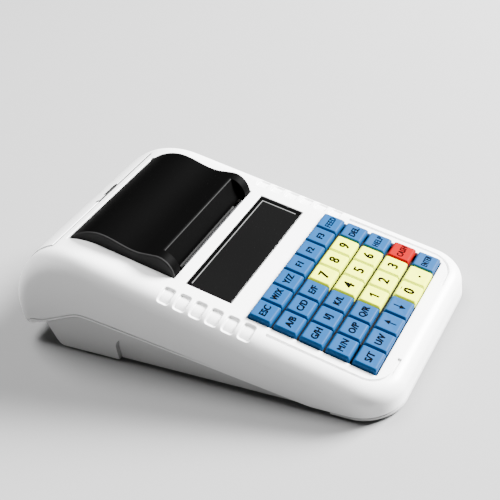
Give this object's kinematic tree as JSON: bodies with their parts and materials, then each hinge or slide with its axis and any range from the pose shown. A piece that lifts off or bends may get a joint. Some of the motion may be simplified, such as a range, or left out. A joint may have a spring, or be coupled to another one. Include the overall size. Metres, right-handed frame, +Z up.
{
  "type": "ticket register",
  "caption": "Low wedge-shaped ticket register with a keypad, a display window and a ticket printer under a hinged cover at the back.",
  "frame": {"origin": "middle of the footprint, on the surface that the rubber feet stand on", "axes": "+X to the operator's right, +Y away from the operator towards the printer, +Z up"},
  "size_m": [0.121, 0.2192, 0.0687],
  "materials": {
    "housing_plastic": "satin white moulding",
    "base_plastic": "satin off-white moulding",
    "cover_plastic": "glossy black moulding",
    "inner_plastic": "fine matt texture",
    "guide_plastic": "matt black",
    "gear_plastic": "natural acetal",
    "lens_plastic": "clear sheet printed black on the back",
    "lcd_parts": "folded metal bezel on a board",
    "panel_plastic": "light grey moulding",
    "blue_cap": "satin cap",
    "yellow_cap": "satin cap",
    "red_cap": "satin cap",
    "platen_rubber": "ground rubber on a steel shaft",
    "mat_rubber": "soft silicone",
    "foot_rubber": "matt",
    "pin_steel": "drawn steel",
    "blade_steel": "stamped strip",
    "screw_steel": "zinc plated",
    "motor_steel": "plated can",
    "head_aluminium": "extruded heat sink with a ceramic strip",
    "pinion_brass": "turned",
    "board_laminate": "green solder mask",
    "battery_film": "shrink film",
    "paper": "thermal paper, wound"
  },
  "bodies": {
    "housing": {"top_housing": "housing_plastic", "base_tray": "base_plastic", "hinge_pin": "pin_steel", "paper_bucket": "inner_plastic", "printer_frame": "inner_plastic", "print_head": "head_aluminium", "print_motor": "motor_steel", "tear_bar": "blade_steel", "display_lens": "lens_plastic", "lcd_module": "lcd_parts", "key_guide": "guide_plastic", "key_mat": "mat_rubber", "key_board": "board_laminate", "main_board": "board_laminate", "port_block": "guide_plastic", "battery_pack": "battery_film", "rear_panel": "panel_plastic", "case_screws": "screw_steel", "feet": "foot_rubber"},
    "cover": {"printer_cover": "cover_plastic"},
    "platen": {"platen_roller": "platen_rubber", "platen_gear": "gear_plastic"},
    "idler": {"idler_gear": "gear_plastic"},
    "pinion": {"motor_pinion": "pinion_brass"},
    "roll": {"paper_roll": "paper"},
    "key_esc": {"key_esc": "blue_cap"},
    "key_wx": {"key_wx": "blue_cap"},
    "key_yz": {"key_yz": "blue_cap"},
    "key_f1": {"key_f1": "blue_cap"},
    "key_f2": {"key_f2": "blue_cap"},
    "key_f3": {"key_f3": "blue_cap"},
    "key_feed": {"key_feed": "blue_cap"},
    "key_ab": {"key_ab": "blue_cap"},
    "key_cd": {"key_cd": "blue_cap"},
    "key_ef": {"key_ef": "blue_cap"},
    "key_7": {"key_7": "yellow_cap"},
    "key_8": {"key_8": "yellow_cap"},
    "key_9": {"key_9": "yellow_cap"},
    "key_del": {"key_del": "blue_cap"},
    "key_gh": {"key_gh": "blue_cap"},
    "key_ij": {"key_ij": "blue_cap"},
    "key_kl": {"key_kl": "blue_cap"},
    "key_4": {"key_4": "yellow_cap"},
    "key_5": {"key_5": "yellow_cap"},
    "key_6": {"key_6": "yellow_cap"},
    "key_help": {"key_help": "blue_cap"},
    "key_mn": {"key_mn": "blue_cap"},
    "key_op": {"key_op": "blue_cap"},
    "key_qr": {"key_qr": "blue_cap"},
    "key_1": {"key_1": "yellow_cap"},
    "key_2": {"key_2": "yellow_cap"},
    "key_3": {"key_3": "yellow_cap"},
    "key_cash": {"key_cash": "red_cap"},
    "key_st": {"key_st": "blue_cap"},
    "key_uv": {"key_uv": "blue_cap"},
    "key_up": {"key_up": "blue_cap"},
    "key_down": {"key_down": "blue_cap"},
    "key_0": {"key_0": "yellow_cap"},
    "key_point": {"key_point": "yellow_cap"},
    "key_enter": {"key_enter": "blue_cap"}
  },
  "joints": [
    {"name": "cover_hinge", "type": "hinge", "parent": "housing", "child": "cover", "pos_m": [0, 0.06965, 0.0603], "axis": [-1, 0, 0], "range_deg": [0, 68]},
    {"name": "platen_turn", "type": "hinge", "parent": "cover", "child": "platen", "pos_m": [0, 0.01745, 0.0436], "axis": [1, 0, 0], "continuous": true},
    {"name": "idler_turn", "type": "hinge", "parent": "housing", "child": "idler", "pos_m": [0.0361, 0.02172, 0.03027], "axis": [1, 0, 0], "continuous": true},
    {"name": "pinion_turn", "type": "hinge", "parent": "housing", "child": "pinion", "pos_m": [0.0361, 0.01795, 0.01824], "axis": [1, 0, 0], "continuous": true},
    {"name": "roll_turn", "type": "hinge", "parent": "housing", "child": "roll", "pos_m": [0, 0.05095, 0.036], "axis": [1, 0, 0], "continuous": true},
    {"name": "esc_press", "type": "slide", "parent": "housing", "child": "key_esc", "axis": [0, 0.2756, -0.9613], "range_m": [0, 0.0018], "stiffness_N_per_m": 300, "springref_m": -0.0006},
    {"name": "wx_press", "type": "slide", "parent": "housing", "child": "key_wx", "axis": [0, 0.2756, -0.9613], "range_m": [0, 0.0018], "stiffness_N_per_m": 300, "springref_m": -0.0006},
    {"name": "yz_press", "type": "slide", "parent": "housing", "child": "key_yz", "axis": [0, 0.2756, -0.9613], "range_m": [0, 0.0018], "stiffness_N_per_m": 300, "springref_m": -0.0006},
    {"name": "f1_press", "type": "slide", "parent": "housing", "child": "key_f1", "axis": [0, 0.2756, -0.9613], "range_m": [0, 0.0018], "stiffness_N_per_m": 300, "springref_m": -0.0006},
    {"name": "f2_press", "type": "slide", "parent": "housing", "child": "key_f2", "axis": [0, 0.2756, -0.9613], "range_m": [0, 0.0018], "stiffness_N_per_m": 300, "springref_m": -0.0006},
    {"name": "f3_press", "type": "slide", "parent": "housing", "child": "key_f3", "axis": [0, 0.2756, -0.9613], "range_m": [0, 0.0018], "stiffness_N_per_m": 300, "springref_m": -0.0006},
    {"name": "feed_press", "type": "slide", "parent": "housing", "child": "key_feed", "axis": [0, 0.2756, -0.9613], "range_m": [0, 0.0018], "stiffness_N_per_m": 300, "springref_m": -0.0006},
    {"name": "ab_press", "type": "slide", "parent": "housing", "child": "key_ab", "axis": [0, 0.2756, -0.9613], "range_m": [0, 0.0018], "stiffness_N_per_m": 300, "springref_m": -0.0006},
    {"name": "cd_press", "type": "slide", "parent": "housing", "child": "key_cd", "axis": [0, 0.2756, -0.9613], "range_m": [0, 0.0018], "stiffness_N_per_m": 300, "springref_m": -0.0006},
    {"name": "ef_press", "type": "slide", "parent": "housing", "child": "key_ef", "axis": [0, 0.2756, -0.9613], "range_m": [0, 0.0018], "stiffness_N_per_m": 300, "springref_m": -0.0006},
    {"name": "7_press", "type": "slide", "parent": "housing", "child": "key_7", "axis": [0, 0.2756, -0.9613], "range_m": [0, 0.0018], "stiffness_N_per_m": 300, "springref_m": -0.0006},
    {"name": "8_press", "type": "slide", "parent": "housing", "child": "key_8", "axis": [0, 0.2756, -0.9613], "range_m": [0, 0.0018], "stiffness_N_per_m": 300, "springref_m": -0.0006},
    {"name": "9_press", "type": "slide", "parent": "housing", "child": "key_9", "axis": [0, 0.2756, -0.9613], "range_m": [0, 0.0018], "stiffness_N_per_m": 300, "springref_m": -0.0006},
    {"name": "del_press", "type": "slide", "parent": "housing", "child": "key_del", "axis": [0, 0.2756, -0.9613], "range_m": [0, 0.0018], "stiffness_N_per_m": 300, "springref_m": -0.0006},
    {"name": "gh_press", "type": "slide", "parent": "housing", "child": "key_gh", "axis": [0, 0.2756, -0.9613], "range_m": [0, 0.0018], "stiffness_N_per_m": 300, "springref_m": -0.0006},
    {"name": "ij_press", "type": "slide", "parent": "housing", "child": "key_ij", "axis": [0, 0.2756, -0.9613], "range_m": [0, 0.0018], "stiffness_N_per_m": 300, "springref_m": -0.0006},
    {"name": "kl_press", "type": "slide", "parent": "housing", "child": "key_kl", "axis": [0, 0.2756, -0.9613], "range_m": [0, 0.0018], "stiffness_N_per_m": 300, "springref_m": -0.0006},
    {"name": "4_press", "type": "slide", "parent": "housing", "child": "key_4", "axis": [0, 0.2756, -0.9613], "range_m": [0, 0.0018], "stiffness_N_per_m": 300, "springref_m": -0.0006},
    {"name": "5_press", "type": "slide", "parent": "housing", "child": "key_5", "axis": [0, 0.2756, -0.9613], "range_m": [0, 0.0018], "stiffness_N_per_m": 300, "springref_m": -0.0006},
    {"name": "6_press", "type": "slide", "parent": "housing", "child": "key_6", "axis": [0, 0.2756, -0.9613], "range_m": [0, 0.0018], "stiffness_N_per_m": 300, "springref_m": -0.0006},
    {"name": "help_press", "type": "slide", "parent": "housing", "child": "key_help", "axis": [0, 0.2756, -0.9613], "range_m": [0, 0.0018], "stiffness_N_per_m": 300, "springref_m": -0.0006},
    {"name": "mn_press", "type": "slide", "parent": "housing", "child": "key_mn", "axis": [0, 0.2756, -0.9613], "range_m": [0, 0.0018], "stiffness_N_per_m": 300, "springref_m": -0.0006},
    {"name": "op_press", "type": "slide", "parent": "housing", "child": "key_op", "axis": [0, 0.2756, -0.9613], "range_m": [0, 0.0018], "stiffness_N_per_m": 300, "springref_m": -0.0006},
    {"name": "qr_press", "type": "slide", "parent": "housing", "child": "key_qr", "axis": [0, 0.2756, -0.9613], "range_m": [0, 0.0018], "stiffness_N_per_m": 300, "springref_m": -0.0006},
    {"name": "1_press", "type": "slide", "parent": "housing", "child": "key_1", "axis": [0, 0.2756, -0.9613], "range_m": [0, 0.0018], "stiffness_N_per_m": 300, "springref_m": -0.0006},
    {"name": "2_press", "type": "slide", "parent": "housing", "child": "key_2", "axis": [0, 0.2756, -0.9613], "range_m": [0, 0.0018], "stiffness_N_per_m": 300, "springref_m": -0.0006},
    {"name": "3_press", "type": "slide", "parent": "housing", "child": "key_3", "axis": [0, 0.2756, -0.9613], "range_m": [0, 0.0018], "stiffness_N_per_m": 300, "springref_m": -0.0006},
    {"name": "cash_press", "type": "slide", "parent": "housing", "child": "key_cash", "axis": [0, 0.2756, -0.9613], "range_m": [0, 0.0018], "stiffness_N_per_m": 300, "springref_m": -0.0006},
    {"name": "st_press", "type": "slide", "parent": "housing", "child": "key_st", "axis": [0, 0.2756, -0.9613], "range_m": [0, 0.0018], "stiffness_N_per_m": 300, "springref_m": -0.0006},
    {"name": "uv_press", "type": "slide", "parent": "housing", "child": "key_uv", "axis": [0, 0.2756, -0.9613], "range_m": [0, 0.0018], "stiffness_N_per_m": 300, "springref_m": -0.0006},
    {"name": "up_press", "type": "slide", "parent": "housing", "child": "key_up", "axis": [0, 0.2756, -0.9613], "range_m": [0, 0.0018], "stiffness_N_per_m": 300, "springref_m": -0.0006},
    {"name": "down_press", "type": "slide", "parent": "housing", "child": "key_down", "axis": [0, 0.2756, -0.9613], "range_m": [0, 0.0018], "stiffness_N_per_m": 300, "springref_m": -0.0006},
    {"name": "0_press", "type": "slide", "parent": "housing", "child": "key_0", "axis": [0, 0.2756, -0.9613], "range_m": [0, 0.0018], "stiffness_N_per_m": 300, "springref_m": -0.0006},
    {"name": "point_press", "type": "slide", "parent": "housing", "child": "key_point", "axis": [0, 0.2756, -0.9613], "range_m": [0, 0.0018], "stiffness_N_per_m": 300, "springref_m": -0.0006},
    {"name": "enter_press", "type": "slide", "parent": "housing", "child": "key_enter", "axis": [0, 0.2756, -0.9613], "range_m": [0, 0.0018], "stiffness_N_per_m": 300, "springref_m": -0.0006}
  ],
  "couplings": [
    {"joint": "idler_turn", "follows": "platen_turn", "ratio": -0.53846},
    {"joint": "pinion_turn", "follows": "platen_turn", "ratio": 1.4}
  ]
}
